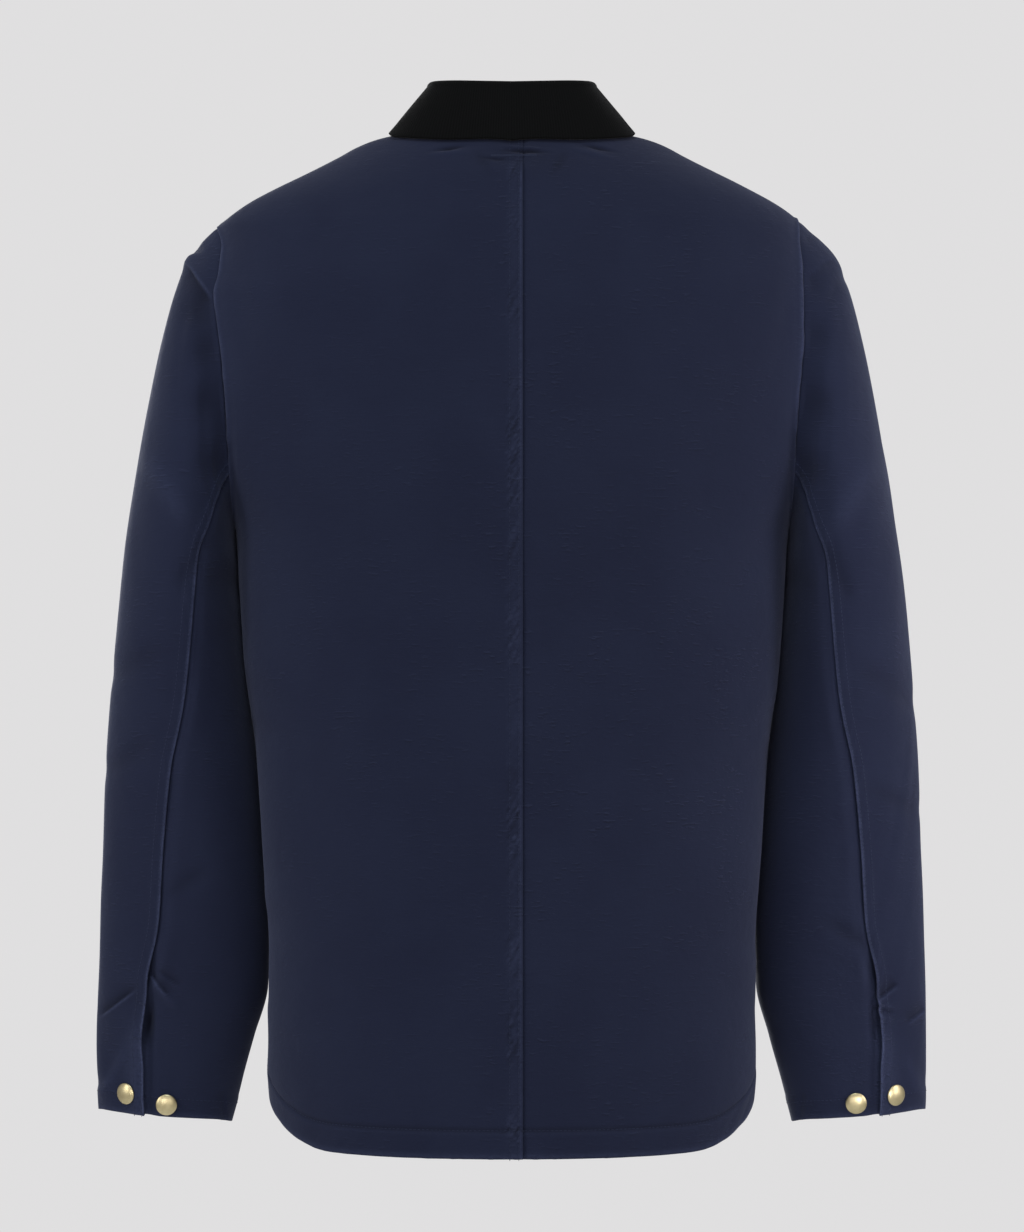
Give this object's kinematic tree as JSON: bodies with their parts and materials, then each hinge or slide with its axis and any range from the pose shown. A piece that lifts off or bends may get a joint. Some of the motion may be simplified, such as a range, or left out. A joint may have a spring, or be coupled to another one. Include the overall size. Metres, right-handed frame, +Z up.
{
  "type": "chore jacket",
  "caption": "Canvas chore jacket with a dark corduroy collar, filled out as worn: hollow body, two-piece sleeves with snap cuffs, snap front and hip patch pockets.",
  "frame": {"origin": "middle of the neck opening, level with the tops of the shoulders", "axes": "+Z up, +Y towards the back of the jacket, +X towards the wearer's left"},
  "size_m": [0.6278, 0.2787, 0.7821],
  "materials": {
    "canvas": "matt navy cotton canvas with a slight slub",
    "corduroy": "near-black fine-wale corduroy",
    "brass": "pale satin brass"
  },
  "bodies": {
    "root": {"back_left": "canvas", "back_right": "canvas", "front_left": "canvas", "front_right": "canvas", "sleeve_left_upper": "canvas", "sleeve_left_under": "canvas", "sleeve_right_upper": "canvas", "sleeve_right_under": "canvas", "pocket_left": "canvas", "pocket_right": "canvas", "collar": "corduroy", "cuff_snap_left_upper": "brass", "cuff_snap_left_under": "brass", "cuff_snap_right_upper": "brass", "cuff_snap_right_under": "brass", "front_snap_1": "brass", "front_snap_2": "brass", "front_snap_3": "brass", "front_snap_4": "brass", "front_snap_5": "brass"}
  },
  "joints": []
}
